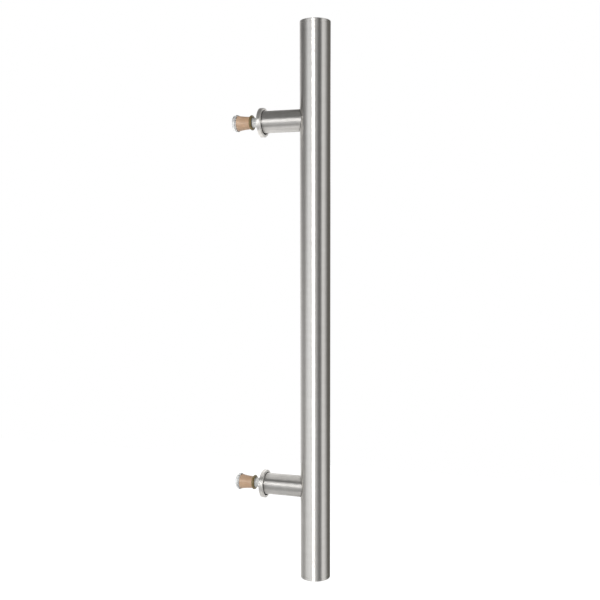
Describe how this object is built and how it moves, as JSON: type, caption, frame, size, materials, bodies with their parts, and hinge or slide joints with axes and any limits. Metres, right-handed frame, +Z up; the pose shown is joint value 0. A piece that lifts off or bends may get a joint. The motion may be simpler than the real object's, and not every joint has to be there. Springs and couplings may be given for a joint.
{
  "type": "bar handle",
  "caption": "Round satin stainless door pull: an upright tube on stand-off posts, with collars, through bolts, tapered bushes and clear washers on the door side.",
  "frame": {"origin": "midway between the axes of the two fixing bolts, on the door's face, which is the plane of the collars' backs", "axes": "+Z up along the bar, +Y into the door along the bolts, +X across the door"},
  "size_m": [0.025, 0.0831, 0.46],
  "materials": {
    "satin_stainless": "satin, brushed round the bar and posts",
    "bright_zinc": "bright zinc plate",
    "brass": "plain turned",
    "dark_rubber": "smooth",
    "tan_plastic": "moulded, slightly see-through",
    "clear_plastic": "clear, moulded"
  },
  "bodies": {
    "root": {"grip_tube": "satin_stainless", "top_end_cap": "satin_stainless", "bottom_end_cap": "satin_stainless", "upper_post": "satin_stainless", "upper_saddle_nut": "bright_zinc", "upper_post_screw": "bright_zinc", "upper_lock_washer": "bright_zinc", "upper_threaded_insert": "brass", "upper_collar": "satin_stainless", "upper_through_bolt": "bright_zinc", "upper_seal_ring": "dark_rubber", "upper_tapered_bush": "tan_plastic", "upper_clear_washer": "clear_plastic", "lower_post": "satin_stainless", "lower_saddle_nut": "bright_zinc", "lower_post_screw": "bright_zinc", "lower_lock_washer": "bright_zinc", "lower_threaded_insert": "brass", "lower_collar": "satin_stainless", "lower_through_bolt": "bright_zinc", "lower_seal_ring": "dark_rubber", "lower_tapered_bush": "tan_plastic", "lower_clear_washer": "clear_plastic"}
  },
  "joints": []
}
